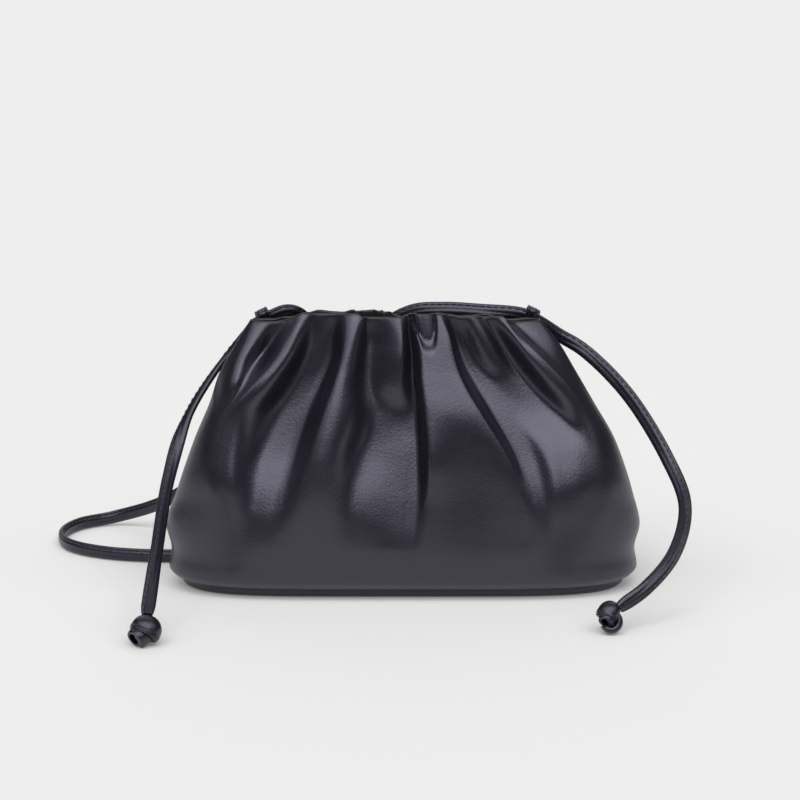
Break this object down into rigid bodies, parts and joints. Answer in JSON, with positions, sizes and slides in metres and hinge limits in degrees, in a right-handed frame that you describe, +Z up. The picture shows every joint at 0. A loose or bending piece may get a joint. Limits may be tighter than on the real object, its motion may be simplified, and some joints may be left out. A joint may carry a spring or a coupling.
{
  "type": "crossbody pouch bag",
  "caption": "Gathered leather pouch bag with a ruched rim, a flat base, leather corner loops and a narrow strap knotted at its ends.",
  "frame": {"origin": "middle of the base, on the surface that the bag stands on", "axes": "+X along the bag's width, +Y from its front to its back, +Z up"},
  "size_m": [0.3049, 0.205, 0.1327],
  "materials": {
    "pouch_leather": "smooth satin leather, dark ink blue",
    "strap_leather": "smooth satin leather with painted edges, dark ink blue"
  },
  "bodies": {
    "root": {"front_panel": "pouch_leather", "back_panel": "pouch_leather", "keeper_left": "strap_leather", "keeper_right": "strap_leather", "strap": "strap_leather", "knot_left": "strap_leather", "knot_right": "strap_leather"}
  },
  "joints": []
}
